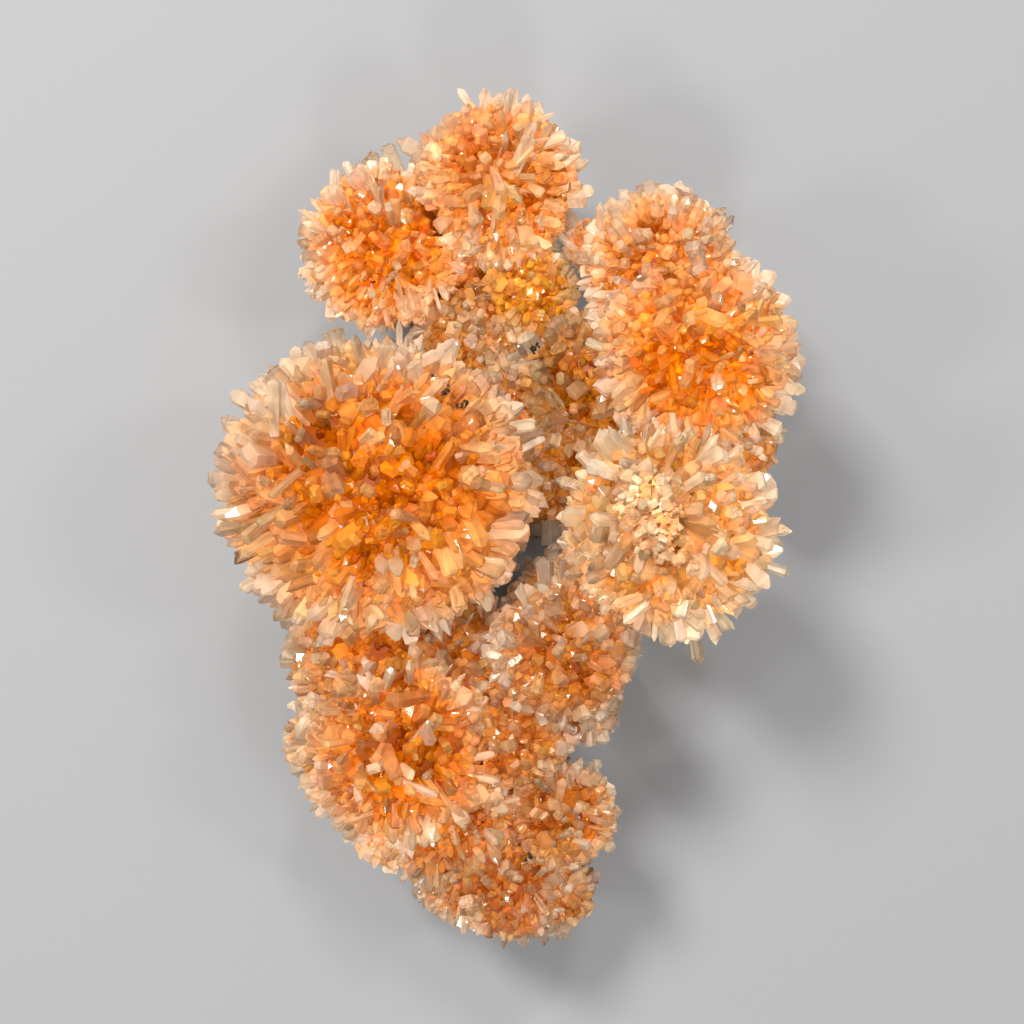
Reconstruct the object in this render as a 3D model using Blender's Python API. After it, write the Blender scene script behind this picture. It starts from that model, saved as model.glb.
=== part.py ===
"""A creedite specimen: balls of radiating prismatic crystals, grown into one another as one piece.

The specimen lies on its back. Its long side runs along Y, its best face looks up along +Z, and the
flat patch where it broke off the rock lies on the plane Z = 0. Lengths below are in millimetres.
"""

import math
import random

import bmesh
import bpy
from mathutils import Matrix, Vector

MM = 0.001

# Each ball of crystals: the x and y of its centre, the height of its centre, and its reach,
# which is how far the tips of its crystals stand from that centre.
BALLS = {
    "big_left": (-12.8, 1.9, 22.0, 15.9),
    "top": (-1.0, 32.5, 18.0, 9.3),
    "top_left": (-12.3, 26.4, 16.0, 9.1),
    "upper_right": (18.7, 15.5, 22.5, 10.7),
    "upper_right_crest": (15.4, 24.0, 20.0, 8.4),
    "blade_root": (8.9, 26.6, 16.0, 3.6),
    "middle_right": (16.1, -2.1, 25.5, 11.0),
    "hollow": (8.3, 12.5, 15.5, 8.3),
    "amber": (2.1, 22.0, 15.5, 5.7),
    "saddle": (-3.7, 18.2, 13.5, 6.3),
    "channel": (3.5, 3.9, 12.0, 6.8),
    "channel_foot": (5.1, -10.3, 14.5, 5.9),
    "shoulder": (22.4, 6.9, 17.5, 5.8),
    "lower_middle": (5.6, -14.0, 22.5, 7.7),
    "lower_ledge": (7.5, -19.4, 17.0, 4.6),
    "lower_left": (-10.7, -23.6, 17.5, 10.9),
    "lower_left_crest": (-14.0, -15.3, 16.5, 8.7),
    "lower_left_edge": (-16.8, -23.5, 16.0, 5.9),
    "under_ledge": (-4.2, -15.9, 14.5, 8.1),
    "lower_saddle": (0.6, -22.4, 17.0, 6.7),
    "fan_left": (-11.0, -31.0, 14.0, 6.3),
    "fan": (-5.5, -31.8, 14.0, 7.8),
    "lower_right": (5.7, -31.1, 16.0, 5.9),
    "foot": (0.6, -38.4, 13.5, 6.3),
    "foot_left": (-3.3, -36.7, 12.0, 6.6),
    "foot_right": (4.7, -38.9, 11.0, 5.2),
    "back_left": (-10.5, 4.5, 9.0, 12.4),
    "back_right": (12.5, 9.5, 8.6, 11.6),
    "back_middle": (0.5, 11.0, 8.5, 8.2),
    "back_lower": (-5.5, -20.0, 7.8, 10.6),
    "back_upper": (-5.0, 26.0, 9.6, 8.6),
    "back_side": (13.0, -5.0, 14.0, 8.4),
    "back_foot": (0.5, -32.0, 9.2, 6.8),
}

# The middle of the whole specimen, in x and y, measured where the table's centres are. It is
# taken off every centre, so that the finished part stands evenly round the origin.
MIDDLE = (-0.432, -1.596)

# The big ball is a little wider than it is tall.
BIG_BALL = "big_left"
BIG_BALL_STRETCH = (1.05, 0.985, 0.97)

# The massed crystals fill a ball to this share of its reach. Single crystals stand out of that.
MASS_SHARE = 0.88
MASS_UNEVENNESS = 0.035
FINE_FROM_REACH = 12.0

# Single crystals: one for about this much of a ball's surface, in square millimetres, the sizes
# they come in, and how far the root and the end of the prism stand from the ball's centre.
SURFACE_PER_CRYSTAL = 92.0
FEWEST_CRYSTALS = 3
CRYSTAL_HALF_WIDTH = (1.0, 1.7)
CRYSTAL_FLATNESS = 0.72
CRYSTAL_TAPER = 0.75
CRYSTAL_ROOT_SHARE = 0.7
CRYSTAL_END_SLOPE = 0.9
RIDGE_SHARE = 0.4
CRYSTAL_LEAN_DEG = 9.0
GOLDEN_ANGLE = math.pi * (3.0 - math.sqrt(5.0))

# Crystals stay clear of the broken patch, and a crystal deep inside a neighbouring ball isn't made.
PATCH_CLEARANCE = 1.2
BURIED_SHARE = 0.97

CUTTER_SIZE = 160.0
CREEDITE_ORANGE = (0.83, 0.36, 0.12, 1.0)


def clear_scene():
    for obj in list(bpy.data.objects):
        bpy.data.objects.remove(obj, do_unlink=True)


def new_collection(name):
    collection = bpy.data.collections.new(name)
    bpy.context.scene.collection.children.link(collection)
    return collection


def creedite_material():
    material = bpy.data.materials.new("creedite")
    material.use_nodes = True
    shader = material.node_tree.nodes["Principled BSDF"]
    shader.inputs["Base Color"].default_value = CREEDITE_ORANGE
    shader.inputs["Roughness"].default_value = 0.25
    shader.inputs["Metallic"].default_value = 0.0
    return material


def add_object(name, bm, collection, material):
    mesh = bpy.data.meshes.new(name)
    bm.to_mesh(mesh)
    bm.free()
    mesh.materials.append(material)
    obj = bpy.data.objects.new(name, mesh)
    collection.objects.link(obj)
    return obj


def as_helper(obj):
    """Keeps an object that only joins or cuts another out of the result."""
    obj.hide_render = True
    obj.display_type = "WIRE"


def ball_centre(name):
    x, y, height, _ = BALLS[name]
    return Vector((x - MIDDLE[0], y - MIDDLE[1], height)) * MM


def ball_reach(name, direction):
    """How far the crystal tips stand from the ball's centre along a direction."""
    reach = BALLS[name][3] * MM
    if name != BIG_BALL:
        return reach
    stretched = Vector(direction[i] / BIG_BALL_STRETCH[i] for i in range(3))
    return reach / stretched.length


def add_ball(name, collection, material, rng):
    """The massed crystals of one ball, as a slightly uneven faceted sphere."""
    bm = bmesh.new()
    subdivisions = 3 if BALLS[name][3] > FINE_FROM_REACH else 2
    bmesh.ops.create_icosphere(bm, subdivisions=subdivisions, radius=1.0)
    for vertex in bm.verts:
        direction = vertex.co.normalized()
        uneven = 1.0 + rng.uniform(-MASS_UNEVENNESS, MASS_UNEVENNESS)
        vertex.co = direction * ball_reach(name, direction) * MASS_SHARE * uneven
    obj = add_object(f"ball_{name}", bm, collection, material)
    obj.location = ball_centre(name)
    return obj


def crystal_mesh(half_width, root, tip):
    """One flattened six-sided prism along +Z, from root to tip, ending in a short ridge."""
    prism_end = tip - half_width * CRYSTAL_END_SLOPE
    bm = bmesh.new()
    bmesh.ops.create_cone(
        bm,
        segments=6,
        radius1=half_width * CRYSTAL_TAPER,
        radius2=half_width,
        depth=prism_end - root,
        cap_ends=True,
        cap_tris=False,
    )
    bmesh.ops.translate(bm, verts=bm.verts, vec=(0.0, 0.0, (root + prism_end) / 2))
    top = max(bm.faces, key=lambda face: face.calc_center_median().z)
    ridge = bmesh.ops.extrude_discrete_faces(bm, faces=[top])["faces"][0]
    for side in (-1.0, 1.0):
        end = [vertex for vertex in ridge.verts if vertex.co.y * side > 0.0]
        bmesh.ops.pointmerge(bm, verts=end, merge_co=(0.0, side * half_width * RIDGE_SHARE, tip))
    bmesh.ops.scale(bm, verts=bm.verts, vec=(CRYSTAL_FLATNESS, 1.0, 1.0))
    return bm


def buried(name, point):
    """Whether a point is deep inside a ball other than the named one."""
    for other in BALLS:
        offset = point - ball_centre(other)
        if other != name and offset.length < ball_reach(other, offset.normalized()) * BURIED_SHARE:
            return True
    return False


def add_crystals(name, collection, material, rng):
    """Single crystals evenly round one ball, where no neighbour covers them."""
    centre = ball_centre(name)
    surface = 4.0 * math.pi * BALLS[name][3] ** 2
    count = max(FEWEST_CRYSTALS, round(surface / SURFACE_PER_CRYSTAL))
    for i in range(count):
        z = 1.0 - 2.0 * (i + 0.5) / count
        ring = math.sqrt(1.0 - z * z)
        turn = i * GOLDEN_ANGLE + rng.uniform(-0.25, 0.25)
        direction = Vector((ring * math.cos(turn), ring * math.sin(turn), z))
        reach = ball_reach(name, direction)
        half_width = rng.uniform(*CRYSTAL_HALF_WIDTH) * MM
        spin = rng.uniform(0.0, math.pi)
        lean = math.radians(rng.uniform(-CRYSTAL_LEAN_DEG, CRYSTAL_LEAN_DEG))
        tip = centre + direction * reach
        if buried(name, tip) or tip.z < PATCH_CLEARANCE * MM:
            continue
        bm = crystal_mesh(half_width, reach * CRYSTAL_ROOT_SHARE, reach)
        obj = add_object(f"crystal_{name}_{i}", bm, collection, material)
        turned = Vector((0.0, 0.0, 1.0)).rotation_difference(direction).to_matrix().to_4x4()
        tilt_about_tip = (
            Matrix.Translation((0.0, 0.0, reach))
            @ Matrix.Rotation(lean, 4, "X")
            @ Matrix.Translation((0.0, 0.0, -reach))
        )
        spun = Matrix.Rotation(spin, 4, "Z")
        obj.matrix_world = Matrix.Translation(centre) @ turned @ spun @ tilt_about_tip
        as_helper(obj)


def add_floor_cutter(collection, material):
    """A block below Z = 0, which leaves the broken patch flat."""
    bm = bmesh.new()
    bmesh.ops.create_cube(bm, size=CUTTER_SIZE * MM)
    bmesh.ops.translate(bm, verts=bm.verts, vec=(0.0, 0.0, -CUTTER_SIZE / 2 * MM))
    cutter = add_object("broken_patch_cutter", bm, collection, material)
    as_helper(cutter)
    return cutter


def main():
    rng = random.Random(7)
    clear_scene()
    specimen = new_collection("creedite_specimen")
    growth = new_collection("growth")
    cutters = new_collection("cutters")
    material = creedite_material()

    cluster = add_ball(BIG_BALL, specimen, material, rng)
    cluster.name = "creedite_cluster"
    for name in BALLS:
        if name != BIG_BALL:
            as_helper(add_ball(name, growth, material, rng))
    for name in BALLS:
        add_crystals(name, growth, material, rng)

    join = cluster.modifiers.new("grown_together", "BOOLEAN")
    join.operation = "UNION"
    join.solver = "EXACT"
    join.operand_type = "COLLECTION"
    join.collection = growth

    cut = cluster.modifiers.new("broken_patch", "BOOLEAN")
    cut.operation = "DIFFERENCE"
    cut.solver = "EXACT"
    cut.object = add_floor_cutter(cutters, material)


main()
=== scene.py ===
"""The looks of a creedite specimen: balls of radiating crystals, grown into one another.

Lengths in the tables are in millimetres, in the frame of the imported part: +Y is up in the
picture, +X is right, and +Z points at the camera. The specimen lies on the plane Z = 0.
"""

import math

import bmesh
import bpy
import numpy as np
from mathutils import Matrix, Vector

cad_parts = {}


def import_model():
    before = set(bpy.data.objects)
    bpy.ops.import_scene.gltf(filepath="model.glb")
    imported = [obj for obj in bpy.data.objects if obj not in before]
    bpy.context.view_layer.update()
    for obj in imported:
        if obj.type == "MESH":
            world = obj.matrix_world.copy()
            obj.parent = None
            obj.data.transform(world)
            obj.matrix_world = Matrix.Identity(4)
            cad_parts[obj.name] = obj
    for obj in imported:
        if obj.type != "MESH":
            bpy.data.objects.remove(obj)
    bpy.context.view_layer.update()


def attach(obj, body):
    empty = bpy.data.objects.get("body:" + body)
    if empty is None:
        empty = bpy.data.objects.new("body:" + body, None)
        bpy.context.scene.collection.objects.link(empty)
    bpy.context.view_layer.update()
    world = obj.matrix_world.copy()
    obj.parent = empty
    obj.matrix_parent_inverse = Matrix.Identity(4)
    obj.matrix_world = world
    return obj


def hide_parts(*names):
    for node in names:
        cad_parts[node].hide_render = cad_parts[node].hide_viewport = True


MM = 0.001
CLUSTER = "creedite_cluster"
BODY = "root"

# The balls, as the part's source has them: centre x and y, height of the centre, and reach.
MIDDLE = (-0.432, -1.596)
BALLS = {
    "big_left": (-12.8, 1.9, 22.0, 15.9),
    "top": (-1.0, 32.5, 18.0, 9.3),
    "top_left": (-12.3, 26.4, 16.0, 9.1),
    "upper_right": (18.7, 15.5, 22.5, 10.7),
    "upper_right_crest": (15.4, 24.0, 20.0, 8.4),
    "blade_root": (8.9, 26.6, 16.0, 3.6),
    "middle_right": (16.1, -2.1, 25.5, 11.0),
    "hollow": (8.3, 12.5, 15.5, 8.3),
    "amber": (2.1, 22.0, 15.5, 5.7),
    "saddle": (-3.7, 18.2, 13.5, 6.3),
    "channel": (3.5, 3.9, 12.0, 6.8),
    "channel_foot": (5.1, -10.3, 14.5, 5.9),
    "shoulder": (22.4, 6.9, 17.5, 5.8),
    "lower_middle": (5.6, -14.0, 22.5, 7.7),
    "lower_ledge": (7.5, -19.4, 17.0, 4.6),
    "lower_left": (-10.7, -23.6, 17.5, 10.9),
    "lower_left_crest": (-14.0, -15.3, 16.5, 8.7),
    "lower_left_edge": (-16.8, -23.5, 16.0, 5.9),
    "under_ledge": (-4.2, -15.9, 14.5, 8.1),
    "lower_saddle": (0.6, -22.4, 17.0, 6.7),
    "fan_left": (-11.0, -31.0, 14.0, 6.3),
    "fan": (-5.5, -31.8, 14.0, 7.8),
    "lower_right": (5.7, -31.1, 16.0, 5.9),
    "foot": (0.6, -38.4, 13.5, 6.3),
    "foot_left": (-3.3, -36.7, 12.0, 6.6),
    "foot_right": (4.7, -38.9, 11.0, 5.2),
    "back_left": (-10.5, 4.5, 9.0, 12.4),
    "back_right": (12.5, 9.5, 8.6, 11.6),
    "back_middle": (0.5, 11.0, 8.5, 8.2),
    "back_lower": (-5.5, -20.0, 7.8, 10.6),
    "back_upper": (-5.0, 26.0, 9.6, 8.6),
    "back_side": (13.0, -5.0, 14.0, 8.4),
    "back_foot": (0.5, -32.0, 9.2, 6.8),
}
BIG_BALL = "big_left"
BIG_BALL_STRETCH = (1.05, 0.985, 0.97)

# The camera looks straight down. The picture shows 102.4 mm at the height of PICTURE_PLANE.
PICTURE_WIDTH = 102.4
PICTURE_PLANE = 20.0
PICTURE_MIDDLE = (1.03, 1.23)
CAMERA_HEIGHT = 320.0
SENSOR_WIDTH = 36.0

# Single crystals can be told apart in the outer part of a ball, the fringe. Its thickness is this
# share of the reach, between these limits. Everything below it is massed.
FRINGE_SHARE = 0.33
FRINGE_LIMITS = (2.1, 4.4)
REACH_UNEVENNESS = 0.28

# Underneath, where the specimen lies on it, the mass comes nearly out to the reach.
UNDERSIDE = -0.72
MASS_SHARE_BELOW = 0.88

# What the crystals of each ball are like: their usual width, how orange the painted heart of the
# ball is, how bright they are, and their hue, where 0.5 is the usual one and more is yellower. The
# brightness is partly the ball's own tone and partly painted light and shade: darker for the balls
# that lie deep between others, where shade falls, and lighter for some of the balls on top.
USUAL_LOOK = (1.2, 0.5, 0.92, 0.5)
LOOKS = {
    "big_left": (1.65, 1.05, 0.95, 0.502),
    "top": (1.3, 0.7, 1.04, 0.501),
    "top_left": (1.2, 0.95, 1.1, 0.501),
    "upper_right": (1.3, 1.1, 1.07, 0.501),
    "upper_right_crest": (1.3, 0.6, 1.07, 0.501),
    "blade_root": (1.2, 0.3, 0.95, 0.5),
    "middle_right": (1.6, 0.4, 1.03, 0.507),
    "hollow": (1.4, 0.8, 0.7, 0.506),
    "amber": (1.2, 0.9, 0.93, 0.512),
    "saddle": (1.2, 0.6, 0.76, 0.504),
    "channel": (1.3, 0.6, 0.68, 0.504),
    "channel_foot": (1.3, 0.6, 0.72, 0.502),
    "shoulder": (1.3, 0.5, 0.9, 0.5),
    "lower_middle": (1.4, 0.6, 0.78, 0.5),
    "lower_ledge": (1.3, 0.3, 0.84, 0.5),
    "lower_left": (1.35, 1.0, 0.95, 0.5),
    "lower_left_crest": (1.5, 0.8, 0.82, 0.5),
    "lower_left_edge": (1.3, 0.5, 0.95, 0.506),
    "under_ledge": (1.4, 0.8, 0.74, 0.5),
    "lower_saddle": (1.3, 0.8, 0.8, 0.5),
    "fan_left": (1.2, 0.2, 1.08, 0.504),
    "fan": (1.2, 0.7, 0.86, 0.5),
    "lower_right": (1.15, 0.8, 0.78, 0.5),
    "foot": (1.15, 0.5, 0.8, 0.498),
    "foot_left": (1.15, 0.5, 0.8, 0.5),
    "foot_right": (1.1, 0.4, 0.78, 0.5),
}

# Two sorts of crystal cover every ball. The cell is the surface for one crystal, as a share of the
# square of the usual width. The tips are how far below the ball's reach they end, as shares of the
# fringe. The lean is how far a crystal turns off the ball's radius, alone and with its neighbours.
SORTS = {
    "close": {
        "cell": 0.84,
        "width": 0.79,
        "spread": 0.3,
        "tips": (0.3, 0.8),
        "length": 0.9,
        "lean": 0.28,
        "clump_lean": 0.25,
        "clarity": 0.08,
        "pale": 0.1,
    },
    "standing": {
        "cell": 2.05,
        "width": 0.87,
        "spread": 0.3,
        "tips": (-0.12, 0.45),
        "length": 1.3,
        "lean": 0.24,
        "clump_lean": 0.25,
        "clarity": 0.34,
        "pale": 0.3,
    },
}
WIDTH_LIMITS = (0.5, 2.7)
LOWEST_TIP = -1.5
LOWEST_ROOT = 0.4
BURIED_DEPTH = 0.5
LEAST_UPRIGHT = 0.7
CROWDED_SPREAD = 0.4
LENGTH_SPREAD = (0.85, 1.25)

# The orange heart of a ball is painted on the side that faces this way, towards the camera and away
# from the key lamp: the deeper orange stands in for light seen down the crystals into their orange
# roots, and the paler side towards the lamp is painted light. It comes in between these shares of
# facing it.
PAINTED_HEART_WAY = (0.12, -0.1, 1.0)
PAINTED_HEART_COMES_IN = (0.15, 0.9)

# How much single crystals of one ball differ from one another.
THICKNESS_SHARES = (0.55, 0.95)
SHADE_SPREAD = (0.78, 1.12)
HUE_SPREAD = 0.005
CLARITY_SPREAD = 0.14
CLARITY_OFF_HEART = 0.08
MOST_CLEAR = 0.85

# One ball is a rosette: long blades spread from a broken point near its top.
ROSETTE_BALL = "middle_right"
ROSETTE_SEEN = (13.2, 0.8)
ROSETTE_DEPTH = 0.7
ROSETTE_BLADES = 150
ROSETTE_RISE_DEG = (2.0, 62.0)
ROSETTE_REACHES = (0.84, 1.0)
ROSETTE_LENGTHS = (4.0, 8.0)
ROSETTE_WIDTHS = (0.9, 1.9)

# Crystals that stand out in the photograph: the ball they grow on, where their tip and their
# lower end are seen from the middle of the picture, and their width.
PROMINENT = (
    ("top", (-5.4, 42.3), (-2.8, 39.2), 1.5),
    ("top", (-6.6, 39.6), (-5.0, 37.6), 1.6),
    ("top", (-11.5, 37.2), (-6.2, 35.0), 1.9),
    ("top", (-10.0, 35.9), (-7.2, 34.5), 0.9),
    ("top", (7.3, 35.2), (4.6, 34.0), 1.3),
    ("top", (8.1, 32.2), (5.0, 31.6), 1.4),
    ("top_left", (-14.4, 35.8), (-12.8, 32.8), 2.0),
    ("top_left", (-12.6, 36.8), (-11.0, 33.6), 1.6),
    ("top_left", (-15.9, 34.0), (-13.6, 31.6), 2.2),
    ("top_left", (-18.3, 32.1), (-16.0, 30.2), 1.8),
    ("top_left", (-21.2, 29.4), (-18.6, 28.0), 2.0),
    ("top_left", (-21.0, 25.6), (-18.2, 25.4), 1.4),
    ("upper_right_crest", (13.6, 33.2), (14.4, 29.0), 2.6),
    ("upper_right_crest", (10.5, 30.9), (12.2, 27.6), 2.4),
    ("upper_right_crest", (17.6, 31.5), (17.0, 29.0), 1.1),
    ("upper_right_crest", (21.1, 30.3), (19.3, 27.2), 1.3),
    ("upper_right_crest", (22.1, 29.6), (20.0, 26.8), 1.2),
    ("upper_right_crest", (22.4, 27.2), (20.0, 25.4), 1.4),
    ("upper_right_crest", (23.4, 25.0), (20.6, 23.8), 1.4),
    ("blade_root", (4.0, 30.9), (9.2, 26.8), 2.5),
    ("blade_root", (5.3, 27.2), (7.6, 25.4), 1.1),
    ("upper_right_crest", (17.9, 26.8), (19.6, 23.2), 1.7),
    ("upper_right", (25.9, 22.2), (23.2, 20.2), 1.4),
    ("upper_right", (26.7, 20.1), (23.8, 18.7), 1.2),
    ("upper_right", (28.1, 18.5), (24.6, 17.2), 1.5),
    ("upper_right", (28.7, 16.5), (25.4, 15.8), 1.5),
    ("upper_right", (29.3, 15.2), (25.6, 14.6), 2.4),
    ("upper_right", (29.3, 12.2), (26.0, 12.8), 1.3),
    ("upper_right", (28.4, 10.3), (25.2, 11.6), 2.2),
    ("upper_right", (26.9, 8.1), (24.4, 10.0), 1.6),
    ("hollow", (8.0, 9.6), (15.3, 12.9), 1.7),
    ("hollow", (4.5, 9.2), (4.9, 8.7), 2.8),
    ("hollow", (8.0, 16.2), (9.4, 18.2), 1.5),
    ("big_left", (-18.0, 18.3), (-17.3, 14.6), 2.1),
    ("big_left", (-20.6, 16.7), (-19.4, 13.6), 1.7),
    ("big_left", (-24.2, 14.6), (-22.5, 12.2), 1.8),
    ("big_left", (-28.1, 12.0), (-25.6, 10.2), 1.8),
    ("big_left", (-29.0, 9.0), (-26.0, 8.0), 1.7),
    ("big_left", (-29.6, 6.3), (-26.2, 5.7), 1.6),
    ("big_left", (-30.4, 3.4), (-26.6, 3.2), 1.9),
    ("big_left", (-29.9, 1.6), (-26.6, 1.8), 1.5),
    ("big_left", (-29.5, -1.8), (-26.2, -1.3), 1.6),
    ("big_left", (-27.7, -4.7), (-25.0, -3.3), 1.4),
    ("big_left", (-26.7, -6.2), (-24.0, -4.6), 1.4),
    ("big_left", (-25.0, -8.2), (-22.6, -6.0), 1.5),
    ("big_left", (-22.8, -10.0), (-21.0, -7.2), 1.5),
    ("big_left", (-17.6, 2.0), (-19.6, 5.4), 2.2),
    ("big_left", (1.8, 2.9), (-1.8, 3.3), 1.8),
    ("big_left", (1.4, -0.8), (-2.8, -1.0), 2.0),
    ("big_left", (-16.7, -10.8), (-16.8, -6.6), 1.3),
    ("big_left", (-14.0, -11.6), (-14.3, -6.2), 1.4),
    ("big_left", (-9.9, -12.4), (-10.5, -7.6), 1.4),
    ("big_left", (-8.0, -11.6), (-8.9, -7.2), 1.3),
    ("big_left", (-16.7, 12.2), (-16.2, 11.4), 2.4),
    ("big_left", (-14.4, 10.6), (-14.1, 9.9), 2.2),
    ("middle_right", (14.1, 11.1), (13.7, 7.0), 1.5),
    ("middle_right", (10.2, 7.9), (11.8, 4.6), 1.6),
    ("middle_right", (16.4, 9.4), (15.6, 5.8), 1.8),
    ("middle_right", (5.0, -0.4), (10.2, -0.6), 2.1),
    ("middle_right", (4.4, 3.2), (9.0, 2.0), 1.4),
    ("middle_right", (27.8, -6.1), (23.6, -4.8), 1.3),
    ("middle_right", (27.1, -3.3), (22.6, -2.6), 2.2),
    ("middle_right", (24.4, -9.4), (21.4, -6.8), 1.4),
    ("middle_right", (20.6, -12.8), (19.1, -9.2), 1.4),
    ("middle_right", (21.8, -11.8), (20.0, -8.8), 1.4),
    ("middle_right", (18.7, -15.0), (18.2, -10.6), 1.7),
    ("middle_right", (15.5, -13.4), (15.3, -9.6), 1.5),
    ("channel", (2.2, -2.6), (2.8, 1.2), 2.2),
    ("channel", (3.8, -3.6), (3.8, 0.8), 2.6),
    ("channel", (5.4, -2.6), (5.0, 1.0), 2.0),
    ("channel_foot", (4.4, -3.0), (4.6, -7.4), 2.4),
    ("channel_foot", (2.6, -4.4), (3.5, -8.0), 2.0),
    ("lower_middle", (3.3, -4.7), (3.5, -9.0), 2.1),
    ("lower_middle", (5.1, -4.8), (4.8, -7.8), 1.3),
    ("lower_middle", (0.2, -19.9), (1.9, -17.1), 1.6),
    ("lower_middle", (-3.1, -14.0), (0.0, -14.0), 1.8),
    ("lower_middle", (7.7, -11.7), (4.8, -12.2), 1.8),
    ("lower_middle", (12.6, -12.8), (9.4, -13.0), 2.2),
    ("lower_ledge", (8.8, -22.1), (8.0, -19.0), 1.3),
    ("lower_ledge", (7.4, -21.8), (6.9, -19.2), 1.1),
    ("lower_left_crest", (-23.1, -10.8), (-20.4, -12.4), 1.6),
    ("lower_left_crest", (-22.5, -13.1), (-19.6, -13.9), 1.4),
    ("lower_left_crest", (-23.3, -14.9), (-20.2, -15.3), 1.5),
    ("lower_left_edge", (-22.2, -17.0), (-19.4, -17.4), 1.4),
    ("lower_left_edge", (-22.5, -19.4), (-19.4, -19.4), 1.4),
    ("lower_left_edge", (-21.8, -22.6), (-18.8, -21.8), 1.5),
    ("lower_left_edge", (-22.7, -24.8), (-19.8, -24.0), 1.4),
    ("lower_left", (-21.2, -27.1), (-17.2, -26.2), 1.6),
    ("lower_left", (-8.4, -22.3), (-8.6, -22.7), 2.2),
    ("lower_left", (-12.4, -18.9), (-8.2, -18.5), 2.0),
    ("fan_left", (-16.7, -33.0), (-14.2, -29.4), 1.4),
    ("fan_left", (-15.3, -34.4), (-13.2, -30.4), 1.4),
    ("fan_left", (-13.6, -35.4), (-12.1, -31.0), 1.3),
    ("fan_left", (-11.9, -35.8), (-11.0, -31.4), 1.4),
    ("fan_left", (-10.1, -36.0), (-9.8, -31.6), 1.2),
    ("fan", (-8.2, -37.8), (-8.0, -34.0), 1.3),
    ("foot", (1.7, -40.2), (1.4, -36.8), 1.4),
    ("foot", (-0.9, -43.6), (-0.4, -39.6), 1.4),
    ("foot", (1.2, -43.6), (0.9, -39.8), 1.3),
    ("foot", (3.3, -43.4), (2.7, -39.6), 1.4),
    ("foot_right", (5.2, -42.8), (4.3, -39.2), 1.3),
    ("foot_left", (-3.4, -42.4), (-2.6, -38.8), 1.3),
    ("foot_right", (7.6, -37.8), (5.4, -37.2), 1.2),
    ("lower_right", (11.0, -30.0), (8.2, -30.0), 1.3),
    ("lower_right", (10.2, -33.8), (7.6, -32.4), 1.3),
    ("lower_right", (8.8, -24.8), (7.2, -27.2), 1.2),
)

PROMINENT_CLARITY = 0.5
PROMINENT_PALE = 0.5
PROMINENT_HEIGHT_SPREAD = 0.6
PROMINENT_ROOT_SHARE = 0.6

# Broken crystals, paler than the rest: where they are seen, and how far they spread.
BROKEN_BALL = "middle_right"
BROKEN = (
    ((11.4, 0.8), 1.3),
    ((15.1, 3.1), 1.2),
    ((15.2, 0.2), 1.1),
    ((14.9, -2.4), 1.8),
    ((12.8, 2.0), 1.0),
)
BROKEN_BITS = 70
BROKEN_SHADE = 1.25
BROKEN_WIDTHS = (0.3, 1.1)
BROKEN_DEPTH_SHARE = 0.92

# Dark specks of iron oxide: the ball, where they are seen, and how far they spread.
SPECKS = (
    ("big_left", (-7.2, 14.2), 0.5),
    ("big_left", (-6.0, 13.3), 0.6),
    ("big_left", (-3.7, 11.9), 0.7),
    ("hollow", (1.7, 16.8), 0.5),
    ("lower_left", (-3.3, -11.5), 0.4),
    ("foot", (2.0, -34.6), 0.5),
)
SPECK_BITS = 9
SPECK_WIDTHS = (0.18, 0.4)
SPECK_DEPTH_SHARE = 0.9
SPECK_COLOUR = "#3A3424"
SPECK_ROUGHNESS = 0.8
BIT_LEAN = 0.9
BIT_LENGTH = 1.1

# Lamps: place in metres, size in metres, and radiance. All are aimed at the specimen.
LIGHTS = (
    ("key", (-0.20, 0.24, 0.40), 0.11, 46.0),
    ("upper", (0.05, 0.30, 0.38), 0.06, 38.0),
    ("right", (0.30, 0.04, 0.36), 0.055, 26.0),
    ("lower", (0.04, -0.30, 0.38), 0.06, 30.0),
    ("left", (-0.32, -0.06, 0.34), 0.055, 30.0),
    ("overhead", (0.08, -0.06, 0.60), 0.08, 10.0),
)
LIGHT_SCALE = 0.89
WORLD_STRENGTH = 0.3
WORLD_COLOUR = "#F2F4F6"

# The floor is a sheet of paper: its colour, and half its side in metres.
PAPER_COLOUR = "#B8B8B8"
PAPER_ROUGHNESS = 0.9
PAPER_REACH = 1.5

# The colour of a crystal from its tip, at 0, to where it is massed, at 1. The orange roots under
# paler tips are the crystal's own colour; the darkening towards 1 is painted shade, standing in for
# the shade in the gaps between crystals, which cast no shadows.
PALE_STOPS_WITH_PAINTED_SHADE = (
    (0.0, "#FFE2C4"),
    (0.22, "#FFC690"),
    (0.5, "#F8A256"),
    (0.8, "#C0660E"),
    (1.0, "#8A4000"),
)
DEEP_STOPS_WITH_PAINTED_SHADE = (
    (0.0, "#FFBA70"),
    (0.2, "#FF9E38"),
    (0.5, "#F88408"),
    (0.8, "#C45C00"),
    (1.0, "#8A3C00"),
)
# Painted highlight on the corners of the prisms.
EDGE_HIGHLIGHT_COLOUR = "#FFEBD6"
MASS_COLOUR = "#AC4E00"
MASS_ROUGHNESS = 0.35
CRYSTAL_ROUGHNESS = 0.08
CREEDITE_IOR = 1.47
STREAK_STRETCH = (7.0, 7.0, 1.6)
STREAK_VALUES = (0.68, 1.24)
RELIEF_HEIGHT = 0.05
GOLDEN_ANGLE = math.pi * (3.0 - math.sqrt(5.0))


def linear(hex_colour):
    """A colour written as sRGB hex, such as "#F4A868", as linear red, green, blue and alpha."""
    values = [int(hex_colour[i : i + 2], 16) / 255 for i in (1, 3, 5)]
    return tuple(v / 12.92 if v <= 0.04045 else ((v + 0.055) / 1.055) ** 2.4 for v in values) + (1.0,)


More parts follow.
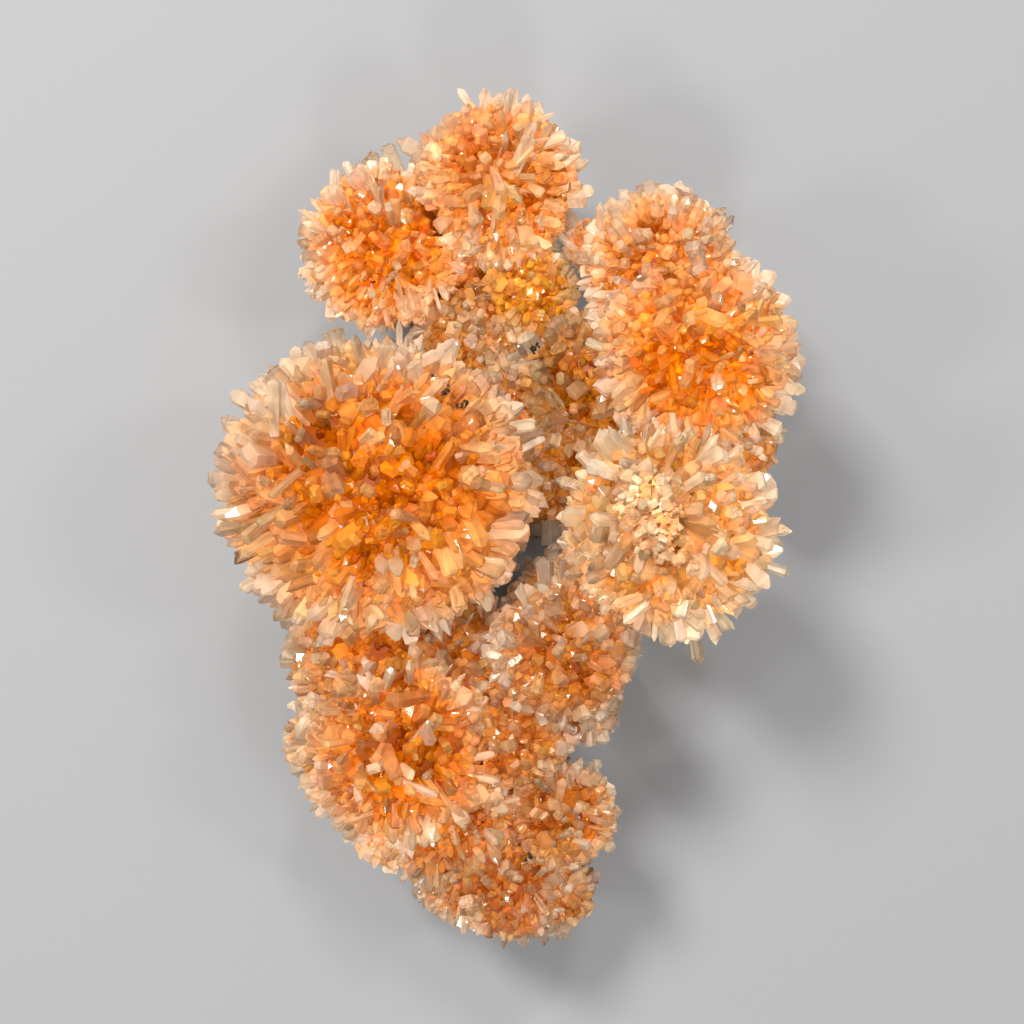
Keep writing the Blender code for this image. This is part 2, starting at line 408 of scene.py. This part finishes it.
def add_node(tree, kind, settings=None, **inputs):
    """Adds a node. An input is a value, or the socket that feeds it; i0 is the first input."""
    node = tree.nodes.new(kind)
    for name, value in (settings or {}).items():
        setattr(node, name, value)
    for name, value in inputs.items():
        numbered = name[0] == "i" and name[1:].isdigit()
        socket = node.inputs[int(name[1:]) if numbered else name.replace("_", " ")]
        if isinstance(value, bpy.types.NodeSocket):
            tree.links.new(value, socket)
        else:
            socket.default_value = value
    return node


def centres_and_reaches():
    centres = np.array([(x - MIDDLE[0], y - MIDDLE[1], z) for x, y, z, _ in BALLS.values()])
    reaches = np.array([reach for _, _, _, reach in BALLS.values()])
    stretch = np.ones((len(BALLS), 3))
    stretch[list(BALLS).index(BIG_BALL)] = BIG_BALL_STRETCH
    return centres, reaches, stretch


CENTRES, REACHES, STRETCH = centres_and_reaches()
FRINGES = np.clip(REACHES * FRINGE_SHARE, *FRINGE_LIMITS)


def reach_along(ball, directions):
    return REACHES[ball] / np.linalg.norm(directions / STRETCH[ball], axis=-1)


def share_in(ball, points):
    """How far out points are in a ball, from 0 at its centre to 1 at its reach."""
    return np.linalg.norm((points - CENTRES[ball]) / STRETCH[ball], axis=-1) / REACHES[ball]


def depth_in(ball, points):
    """How deep points are in a ball's fringe, from 0 at its reach to 1 where it is massed."""
    return (1.0 - share_in(ball, points)) * REACHES[ball] / FRINGES[ball]


def even_directions(count, rng, jitter):
    i = np.arange(count)
    z = 1.0 - 2.0 * (i + 0.5) / count
    ring = np.sqrt(1.0 - z * z)
    turn = i * GOLDEN_ANGLE
    directions = np.stack([ring * np.cos(turn), ring * np.sin(turn), z], axis=1)
    return unit(directions + rng.normal(0.0, jitter, directions.shape))


def unit(vectors):
    return vectors / np.linalg.norm(vectors, axis=-1, keepdims=True)


def wave_noise(points, rng, scale, count=10):
    """A smooth random value from about -1 to 1 at each point, with features of this size."""
    waves = rng.normal(0.0, 1.0, (count, 3)) * (2.0 / scale)
    phases = rng.uniform(0.0, 2.0 * math.pi, count)
    return np.sin(points @ waves.T + phases).sum(axis=1) / math.sqrt(count / 2.0) * 0.6


def smooth_step(low, high, value):
    share = np.clip((value - low) / (high - low), 0.0, 1.0)
    return share * share * (3.0 - 2.0 * share)


def crystal_table(ball, tips, roots, width, clarity, pale, rng):
    """Everything that the growth nodes and the material read, for crystals from root to tip."""
    name = list(BALLS)[ball]
    _, painted_heart_strength, shade, hue = LOOKS.get(name, USUAL_LOOK)
    count = len(tips)
    away = tips - roots
    out = unit(tips - CENTRES[ball])
    # Painted heart: crystals facing the camera get the deeper orange, standing in for light seen down
    # them.
    facing = out @ unit(np.array(PAINTED_HEART_WAY)) + 0.16 * wave_noise(tips, rng, 6.0)
    heart = painted_heart_strength * smooth_step(*PAINTED_HEART_COMES_IN, facing)
    heart = np.where(rng.random(count) < pale, heart * 0.5, heart)
    patchy = 1.0 + 0.06 * wave_noise(tips, rng, 5.0)
    table = {
        "root": roots,
        "axis": unit(away),
        "length": np.linalg.norm(away, axis=1),
        "width": width,
        "thickness": width * rng.uniform(*THICKNESS_SHARES, count),
        "spin": rng.uniform(0.0, 2.0 * math.pi, count),
        # The ball's brightness is partly painted shade, darker for balls lying deep between others.
        "shade": shade * patchy * rng.uniform(*SHADE_SPREAD, count),
        "hue": hue + rng.normal(0.0, HUE_SPREAD, count),
        "heart": heart,
        "clarity": clarity + CLARITY_OFF_HEART * (1.0 - heart) + rng.normal(0.0, CLARITY_SPREAD, count),
        "root_depth": depth_in(ball, roots),
        "tip_depth": np.maximum(depth_in(ball, tips), 0.0),
        "variant": rng.integers(0, len(HABITS), count),
    }
    table["clarity"] = np.clip(table["clarity"], 0.0, MOST_CLEAR)
    return table


def only(crystals, keep):
    return {key: values[keep] for key, values in crystals.items()}


def in_the_open(ball, tips, roots):
    """Which crystals stand above the rest plane and clear of the massed part of other balls."""
    keep = (tips[:, 2] > LOWEST_TIP) & (roots[:, 2] > LOWEST_ROOT)
    for other in range(len(BALLS)):
        if other != ball:
            keep &= depth_in(other, tips) < BURIED_DEPTH
    return keep


def crystals_of(name, sort, rng):
    """One sort of crystal, evenly round one ball."""
    ball = list(BALLS).index(name)
    reach = REACHES[ball]
    fringe = FRINGES[ball]
    make = SORTS[sort]
    usual = LOOKS.get(name, USUAL_LOOK)[0] * make["width"]
    count = int(4.0 * math.pi * reach**2 / (make["cell"] * usual**2))
    out = even_directions(count, rng, CROWDED_SPREAD * math.sqrt(4.0 * math.pi / count))

    low, high = make["tips"]
    below = low + (high - low) * rng.random(count) ** 0.8
    below += REACH_UNEVENNESS * wave_noise(out * reach, rng, 4.5)
    stands = reach_along(ball, out) - np.maximum(below, -0.2) * fringe
    tips = CENTRES[ball] + out * stands[:, None]

    radial = unit(tips - CENTRES[ball])
    together = np.stack([wave_noise(out * reach, rng, 4.0) for _ in range(3)], axis=1)
    axis = unit(radial + make["clump_lean"] * together + rng.normal(0.0, make["lean"], radial.shape))
    width = np.clip(usual * rng.lognormal(-0.04, make["spread"], count), *WIDTH_LIMITS)
    length = fringe * make["length"] * rng.uniform(*LENGTH_SPREAD, count)
    roots = tips - axis * length[:, None]
    crystals = crystal_table(ball, tips, roots, width, make["clarity"], make["pale"], rng)
    upright = (axis * radial).sum(axis=1) > LEAST_UPRIGHT
    return only(crystals, upright & in_the_open(ball, tips, roots))


def rosette(rng):
    """Long blades that spread from a point near the top of one ball."""
    ball = list(BALLS).index(ROSETTE_BALL)
    heart = CENTRES[ball] + (seen_on(ball, ROSETTE_SEEN) - CENTRES[ball]) * ROSETTE_DEPTH
    turn = np.arange(ROSETTE_BLADES) * GOLDEN_ANGLE
    rise = np.radians(rng.uniform(*ROSETTE_RISE_DEG, ROSETTE_BLADES))
    way = np.stack([np.cos(turn) * np.cos(rise), np.sin(turn) * np.cos(rise), np.sin(rise)], axis=1)
    from_centre = heart - CENTRES[ball]
    along = way @ from_centre
    stands = REACHES[ball] * rng.uniform(*ROSETTE_REACHES, ROSETTE_BLADES)
    to_tip = -along + np.sqrt(along**2 + stands**2 - from_centre @ from_centre)
    tips = heart + way * to_tip[:, None]
    length = np.minimum(to_tip * 0.95, rng.uniform(*ROSETTE_LENGTHS, ROSETTE_BLADES))
    width = rng.uniform(*ROSETTE_WIDTHS, ROSETTE_BLADES)
    roots = tips - way * length[:, None]
    crystals = crystal_table(ball, tips, roots, width, PROMINENT_CLARITY, PROMINENT_PALE, rng)
    return only(crystals, in_the_open(ball, tips, roots))


def seen_on(ball, seen):
    """The point on a ball's reach that the camera sees at a place in the picture."""
    height = CENTRES[ball][2]
    for _ in range(5):
        scale = (CAMERA_HEIGHT - height) / (CAMERA_HEIGHT - PICTURE_PLANE)
        x = PICTURE_MIDDLE[0] + seen[0] * scale
        y = PICTURE_MIDDLE[1] + seen[1] * scale
        across = share_in(ball, np.array((x, y, CENTRES[ball][2])))
        rise = math.sqrt(max(0.0, 1.0 - across**2)) * REACHES[ball] * STRETCH[ball][2]
        height = CENTRES[ball][2] + rise
    return np.array((x, y, height))


def prominent_on(name, rng):
    """The crystals that stand out on one ball."""
    ball = list(BALLS).index(name)
    rows = [row for row in PROMINENT if row[0] == name]
    tips = np.array([seen_on(ball, row[1]) for row in rows]).reshape(-1, 3)
    roots = np.array([seen_on(ball, row[2]) for row in rows]).reshape(-1, 3)
    tips[:, 2] += rng.uniform(-PROMINENT_HEIGHT_SPREAD, PROMINENT_HEIGHT_SPREAD, len(rows))
    height = CENTRES[ball][2]
    roots[:, 2] = height + PROMINENT_ROOT_SHARE * (tips[:, 2] - height)
    width = np.array([row[3] for row in rows])
    return crystal_table(ball, tips, roots, width, PROMINENT_CLARITY, PROMINENT_PALE, rng)


def bits(ball, seen, spread, count, share, widths, rng):
    """Small stubby crystals scattered on a ball round a place in the picture."""
    middle = CENTRES[ball] + (seen_on(ball, seen) - CENTRES[ball]) * share
    tips = middle + rng.normal(0.0, spread * 0.5, (count, 3)) * (1.0, 1.0, 0.5)
    way = unit(unit(tips - CENTRES[ball]) + rng.normal(0.0, BIT_LEAN, (count, 3)))
    width = rng.uniform(*widths, count)
    roots = tips - way * width[:, None] * BIT_LENGTH
    return crystal_table(ball, tips, roots, width, 0.0, 0.0, rng)


def joined(tables):
    return {key: np.concatenate([table[key] for table in tables]) for key in tables[0]}


# The habits of crystal end. Each row is a ring of the crystal, from root to tip: its height as a
# share of the length, then its width and its thickness as shares of the crystal's own.
HABITS = {
    "chisel": ((0.0, 0.8, 0.8), (0.9, 1.0, 1.0), (1.0, 0.5, 0.12)),
    "blunt": ((0.0, 0.8, 0.8), (0.95, 1.0, 1.0), (1.0, 0.66, 0.5)),
    "spade": ((0.0, 0.75, 0.75), (0.83, 1.0, 1.0), (1.0, 0.28, 0.25)),
    "slant": ((0.0, 0.8, 0.8), (0.92, 1.0, 1.0), (1.0, 0.66, 0.4)),
}
SLANT = {"slant": 0.16}


def habit_nodes(tree, rings, lean):
    """Nodes for one crystal habit, one unit wide, one thick and one long, with its root at Z = 0."""

    def maths(operation, *values):
        inputs = {f"i{i}": value for i, value in enumerate(values)}
        return add_node(tree, "ShaderNodeMath", {"operation": operation}, **inputs).outputs[0]

    prism = add_node(
        tree,
        "GeometryNodeMeshCylinder",
        {"fill_type": "NGON"},
        Vertices=6,
        Side_Segments=len(rings) - 1,
        Radius=0.5,
        Depth=1.0,
    )
    place = add_node(tree, "GeometryNodeInputPosition")
    parts = add_node(tree, "ShaderNodeSeparateXYZ", Vector=place.outputs[0])
    # The six corners are moved out, so that the prism has two broad faces and four narrow ones.
    squaring = maths("MULTIPLY_ADD", maths("ABSOLUTE", parts.outputs["X"]), -1.76, 1.88)
    across = maths("MULTIPLY", parts.outputs["X"], squaring)
    level = maths("ADD", parts.outputs["Z"], 0.5)
    curves = []
    for column in range(3):
        curve = add_node(tree, "ShaderNodeFloatCurve", Value=level)
        points = curve.mapping.curves[0].points
        while len(points) < len(rings):
            points.new(0.5, 0.5)
        for i, ring in enumerate(rings):
            points[i].location = (i / (len(rings) - 1), ring[column])
            points[i].handle_type = "VECTOR"
        curve.mapping.update()
        curves.append(curve.outputs[0])
    slope = maths("MULTIPLY", parts.outputs["X"], lean)
    slanted = maths("MULTIPLY", slope, maths("GREATER_THAN", level, 0.5))
    height = maths("ADD", curves[0], slanted)
    x = maths("MULTIPLY", across, curves[1])
    y = maths("MULTIPLY", parts.outputs["Y"], curves[2])
    shape = add_node(tree, "ShaderNodeCombineXYZ", X=x, Y=y, Z=height)
    shaped = add_node(
        tree, "GeometryNodeSetPosition", Geometry=prism.outputs["Mesh"], Position=shape.outputs[0]
    )
    marked = stored(tree, shaped, "along", "FLOAT", height)
    return stored(tree, marked, "local", "FLOAT_VECTOR", shape.outputs[0])


def stored(tree, before, name, kind, value):
    """Keeps a value at every vertex under a name."""
    return add_node(
        tree,
        "GeometryNodeStoreNamedAttribute",
        {"data_type": kind, "domain": "POINT"},
        Geometry=before.outputs[0],
        Name=name,
        Value=value,
    )


def growth_tree():
    """Puts a crystal on each point, turned and sized by the point's own values."""
    tree = bpy.data.node_groups.new("crystal_growth", "GeometryNodeTree")
    tree.interface.new_socket("Geometry", in_out="INPUT", socket_type="NodeSocketGeometry")
    tree.interface.new_socket("Thickness factor", in_out="INPUT", socket_type="NodeSocketFloat")
    tree.interface.new_socket("Material", in_out="INPUT", socket_type="NodeSocketMaterial")
    tree.interface.new_socket("Geometry", in_out="OUTPUT", socket_type="NodeSocketGeometry")
    start = add_node(tree, "NodeGroupInput")
    habits = add_node(tree, "GeometryNodeGeometryToInstance")
    for name, rings in reversed(HABITS.items()):
        habit = habit_nodes(tree, rings, SLANT.get(name, 0.0))
        tree.links.new(habit.outputs[0], habits.inputs[0])

    def read(name, kind="FLOAT"):
        value = add_node(tree, "GeometryNodeInputNamedAttribute", {"data_type": kind}, Name=name)
        return value.outputs[0]

    thickness = add_node(
        tree,
        "ShaderNodeMath",
        {"operation": "MULTIPLY"},
        i0=read("thickness"),
        i1=start.outputs["Thickness factor"],
    )
    size = add_node(
        tree, "ShaderNodeCombineXYZ", X=read("width"), Y=thickness.outputs[0], Z=read("length")
    )
    turned = add_node(
        tree, "FunctionNodeAlignRotationToVector", {"axis": "Z"}, Vector=read("axis", "FLOAT_VECTOR")
    )
    spin = add_node(tree, "FunctionNodeAxisAngleToRotation", Axis=(0.0, 0.0, 1.0), Angle=read("spin"))
    rotation = add_node(
        tree,
        "FunctionNodeRotateRotation",
        {"rotation_space": "LOCAL"},
        Rotation=turned.outputs[0],
        Rotate_By=spin.outputs[0],
    )
    crystals = add_node(
        tree,
        "GeometryNodeInstanceOnPoints",
        Points=start.outputs["Geometry"],
        Instance=habits.outputs[0],
        Pick_Instance=True,
        Instance_Index=read("variant", "INT"),
        Rotation=rotation.outputs[0],
        Scale=size.outputs[0],
    )
    real = add_node(tree, "GeometryNodeRealizeInstances", Geometry=crystals.outputs[0])
    flat = add_node(tree, "GeometryNodeSetShadeSmooth", Geometry=real.outputs[0], Shade_Smooth=False)
    depth = add_node(
        tree,
        "ShaderNodeMapRange",
        Value=read("along"),
        To_Min=read("root_depth"),
        To_Max=read("tip_depth"),
    )
    marked = stored(tree, flat, "depth", "FLOAT", depth.outputs[0])
    coated = add_node(
        tree, "GeometryNodeSetMaterial", Geometry=marked.outputs[0], Material=start.outputs["Material"]
    )
    end = add_node(tree, "NodeGroupOutput")
    tree.links.new(coated.outputs[0], end.inputs[0])
    return tree


def link(name, mesh):
    piece = bpy.data.objects.new(name, mesh)
    bpy.context.scene.collection.objects.link(piece)
    return piece


def cut_at_rest_plane(mesh):
    """The crystals that the specimen lies on are broken off flat, at Z = 0."""
    places = np.empty(len(mesh.vertices) * 3, np.float32)
    mesh.vertices.foreach_get("co", places)
    places[2::3] = np.maximum(places[2::3], 0.0)
    mesh.vertices.foreach_set("co", places)
    mesh.update()


def grow(name, crystals, tree, material):
    """Makes the crystals as one plain mesh."""
    mesh = bpy.data.meshes.new(name)
    mesh.from_pydata((crystals["root"] * MM).tolist(), [], [])
    for key in ("width", "thickness", "length"):
        mesh.attributes.new(key, "FLOAT", "POINT").data.foreach_set("value", crystals[key] * MM)
    for key in ("spin", "shade", "hue", "heart", "clarity", "root_depth", "tip_depth"):
        mesh.attributes.new(key, "FLOAT", "POINT").data.foreach_set("value", crystals[key])
    variant = crystals["variant"].astype(np.int32)
    mesh.attributes.new("variant", "INT", "POINT").data.foreach_set("value", variant)
    axis = crystals["axis"].ravel()
    mesh.attributes.new("axis", "FLOAT_VECTOR", "POINT").data.foreach_set("vector", axis)
    seeds = link(name + "_seeds", mesh)
    growth = seeds.modifiers.new("growth", "NODES")
    growth.node_group = tree
    sockets = {s.name: s.identifier for s in tree.interface.items_tree if s.in_out == "INPUT"}
    growth[sockets["Thickness factor"]] = 1.0
    growth[sockets["Material"]] = material
    graph = bpy.context.evaluated_depsgraph_get()
    grown = bpy.data.meshes.new_from_object(
        seeds.evaluated_get(graph), preserve_all_data_layers=True, depsgraph=graph
    )
    bpy.data.objects.remove(seeds, do_unlink=True)
    cut_at_rest_plane(grown)
    return link(name, grown)


def new_material(name):
    material = bpy.data.materials.new(name)
    material.use_nodes = True
    return material, material.node_tree, material.node_tree.nodes["Principled BSDF"]


def read_value(tree, name):
    return add_node(tree, "ShaderNodeAttribute", {"attribute_name": name}).outputs["Fac"]


def gradient(tree, position, stops):
    ramp = add_node(tree, "ShaderNodeValToRGB", Fac=position)
    elements = ramp.color_ramp.elements
    elements[0].position, elements[0].color = stops[0][0], linear(stops[0][1])
    elements[1].position, elements[1].color = stops[-1][0], linear(stops[-1][1])
    for place, colour in stops[1:-1]:
        elements.new(place).color = linear(colour)
    return ramp.outputs[0]


def creedite():
    """Creedite: glassy, clouded orange where it is massed, partly clear at the tips. Its colour carries
    painted shade deep in the fringe, a painted orange heart and painted highlights on prism corners.
    """
    material, tree, shader = new_material("creedite_crystal")
    # Deeper in the fringe the colour darkens: painted shade for the gaps between crystals.
    depth = read_value(tree, "depth")
    # The painted heart, deeper orange on the side of each ball towards the camera, blends the two
    # gradients.
    mixed = add_node(
        tree,
        "ShaderNodeMix",
        {"data_type": "RGBA"},
        i0=read_value(tree, "heart"),
        i6=gradient(tree, depth, PALE_STOPS_WITH_PAINTED_SHADE),
        i7=gradient(tree, depth, DEEP_STOPS_WITH_PAINTED_SHADE),
    )
    varied = add_node(
        tree,
        "ShaderNodeHueSaturation",
        Hue=read_value(tree, "hue"),
        Value=read_value(tree, "shade"),
        Color=mixed.outputs[2],
    )

    # Fine lines run lengthwise on the prism faces. They cloud the colour and catch the light.
    local = add_node(tree, "ShaderNodeAttribute", {"attribute_name": "local"}).outputs["Vector"]
    stretched = add_node(
        tree, "ShaderNodeVectorMath", {"operation": "MULTIPLY"}, i0=local, i1=STREAK_STRETCH
    )
    own_pattern = add_node(
        tree, "ShaderNodeMath", {"operation": "MULTIPLY"}, i0=read_value(tree, "spin"), i1=9.0
    )
    streaks = add_node(
        tree,
        "ShaderNodeTexNoise",
        {"noise_dimensions": "4D"},
        Vector=stretched.outputs[0],
        W=own_pattern.outputs[0],
        Scale=1.0,
        Detail=1.0,
    ).outputs["Fac"]
    darkest, brightest = STREAK_VALUES
    streak_value = add_node(
        tree,
        "ShaderNodeMapRange",
        Value=streaks,
        From_Min=0.3,
        From_Max=0.7,
        To_Min=darkest,
        To_Max=brightest,
    )
    lined = add_node(
        tree, "ShaderNodeHueSaturation", Value=streak_value.outputs[0], Color=varied.outputs[0]
    )

    # The corners of a prism are painted paler than its faces towards the tips: a painted highlight,
    # standing in for the light that glass edges catch.
    across = add_node(tree, "ShaderNodeSeparateXYZ", Vector=local)
    side = add_node(tree, "ShaderNodeMath", {"operation": "ABSOLUTE"}, i0=across.outputs["X"])
    edge = add_node(
        tree,
        "ShaderNodeMapRange",
        {"interpolation_type": "SMOOTHSTEP"},
        Value=side.outputs[0],
        From_Min=0.36,
        From_Max=0.49,
        To_Max=0.95,
    )
    outer = add_node(tree, "ShaderNodeMapRange", Value=depth, From_Min=0.6, From_Max=0.1)
    painted_edge_highlight = add_node(
        tree, "ShaderNodeMath", {"operation": "MULTIPLY"}, i0=edge.outputs[0], i1=outer.outputs[0]
    )
    rimmed = add_node(
        tree,
        "ShaderNodeMix",
        {"data_type": "RGBA"},
        i0=painted_edge_highlight.outputs[0],
        i6=lined.outputs[0],
        i7=linear(EDGE_HIGHLIGHT_COLOUR),
    )
    tree.links.new(rimmed.outputs[2], shader.inputs["Base Color"])

    opening = add_node(tree, "ShaderNodeMapRange", Value=depth, From_Min=0.9, From_Max=0.15, To_Min=0.15)
    clear = add_node(
        tree,
        "ShaderNodeMath",
        {"operation": "MULTIPLY"},
        i0=opening.outputs[0],
        i1=read_value(tree, "clarity"),
    )
    tree.links.new(clear.outputs[0], shader.inputs["Transmission Weight"])
    relief = add_node(tree, "ShaderNodeBump", Strength=0.45, Distance=RELIEF_HEIGHT * MM, Height=streaks)
    tree.links.new(relief.outputs[0], shader.inputs["Normal"])
    shader.inputs["Roughness"].default_value = CRYSTAL_ROUGHNESS
    shader.inputs["IOR"].default_value = CREEDITE_IOR
    return material


def plain_material(name, colour, roughness):
    material, _, shader = new_material(name)
    shader.inputs["Base Color"].default_value = linear(colour)
    shader.inputs["Roughness"].default_value = roughness
    return material


def mass_piece(material):
    """The massed lower parts of the crystals, one lump in each ball."""
    bm = bmesh.new()
    for ball in range(len(BALLS)):
        made = bmesh.ops.create_icosphere(bm, subdivisions=3, radius=1.0)["verts"]
        share = 1.0 - FRINGES[ball] / REACHES[ball]
        for vertex in made:
            way = np.array(vertex.co)
            out = MASS_SHARE_BELOW if way[2] < UNDERSIDE else share
            place = CENTRES[ball] + way * reach_along(ball, way) * out
            place[2] = max(place[2], 0.0)
            vertex.co = Vector(place * MM)
    mesh = bpy.data.meshes.new("mass")
    bm.to_mesh(mesh)
    bm.free()
    mesh.materials.append(material)
    return link("mass", mesh)


def add_light(name, place, aim, size, watts):
    data = bpy.data.lights.new(name, "AREA")
    data.shape = "SQUARE"
    data.size = size
    data.energy = watts
    lamp = link(name, data)
    lamp.location = place
    lamp.rotation_euler = (Vector(aim) - Vector(place)).to_track_quat("-Z", "Y").to_euler()


def studio():
    """A pale paper floor, soft lamps all round, and a faint white surrounding light."""
    world = bpy.data.worlds.new("studio")
    world.use_nodes = True
    background = world.node_tree.nodes["Background"]
    background.inputs["Color"].default_value = linear(WORLD_COLOUR)
    background.inputs["Strength"].default_value = WORLD_STRENGTH
    bpy.context.scene.world = world

    far = PAPER_REACH
    corners = [(-far, -far, 0), (far, -far, 0), (far, far, 0), (-far, far, 0)]
    floor_mesh = bpy.data.meshes.new("floor")
    floor_mesh.from_pydata(corners, [], [(0, 1, 2, 3)])
    floor_mesh.materials.append(plain_material("paper", PAPER_COLOUR, PAPER_ROUGHNESS))
    link("floor", floor_mesh)

    middle = (0.0, 0.0, PICTURE_PLANE * MM)
    for name, place, size, radiance in LIGHTS:
        add_light(name, place, middle, size, LIGHT_SCALE * radiance * math.pi * size**2)


def camera():
    data = bpy.data.cameras.new("camera")
    data.sensor_width = SENSOR_WIDTH
    data.lens = SENSOR_WIDTH * (CAMERA_HEIGHT - PICTURE_PLANE) / PICTURE_WIDTH
    view = link("camera", data)
    view.location = Vector((*PICTURE_MIDDLE, CAMERA_HEIGHT)) * MM
    bpy.context.scene.camera = view


def crystal_pieces(rng):
    tree = growth_tree()
    crystal = creedite()
    pieces = []
    for name in BALLS:
        for sort in SORTS:
            pieces.append(grow(f"crystals_{sort}_{name}", crystals_of(name, sort, rng), tree, crystal))
    named = [name for name in BALLS if any(row[0] == name for row in PROMINENT)]
    prominent = joined([prominent_on(name, rng) for name in named])
    pieces.append(grow("crystals_prominent", prominent, tree, crystal))
    pieces.append(grow("crystals_rosette", rosette(rng), tree, crystal))

    ball = list(BALLS).index(BROKEN_BALL)
    patches = []
    for seen, spread in BROKEN:
        patches.append(bits(ball, seen, spread, BROKEN_BITS, BROKEN_DEPTH_SHARE, BROKEN_WIDTHS, rng))
    broken = joined(patches)
    broken["shade"] *= BROKEN_SHADE
    pieces.append(grow("broken_crystals", broken, tree, crystal))

    dark = []
    for name, seen, spread in SPECKS:
        ball = list(BALLS).index(name)
        dark.append(bits(ball, seen, spread, SPECK_BITS, SPECK_DEPTH_SHARE, SPECK_WIDTHS, rng))
    iron_oxide = plain_material("iron_oxide", SPECK_COLOUR, SPECK_ROUGHNESS)
    pieces.append(grow("specks", joined(dark), tree, iron_oxide))
    return pieces


def main():
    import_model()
    rng = np.random.default_rng(3)
    pieces = crystal_pieces(rng)
    # Lamp light reaches through clear crystals, so only what isn't clear casts shadows.
    for piece in pieces:
        piece.visible_shadow = not piece.name.startswith("crystals")
    pieces.append(mass_piece(plain_material("creedite_mass", MASS_COLOUR, MASS_ROUGHNESS)))
    for piece in pieces:
        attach(piece, BODY)
        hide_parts(CLUSTER)
    studio()
    camera()
    scene = bpy.context.scene
    scene.view_settings.view_transform = "Standard"
    scene.cycles.adaptive_threshold = 0.03
    scene.cycles.max_bounces = 6
    scene.cycles.diffuse_bounces = 2
    scene.cycles.glossy_bounces = 1
    scene.cycles.transmission_bounces = 6
    scene.cycles.caustics_reflective = False
    scene.cycles.caustics_refractive = False


main()
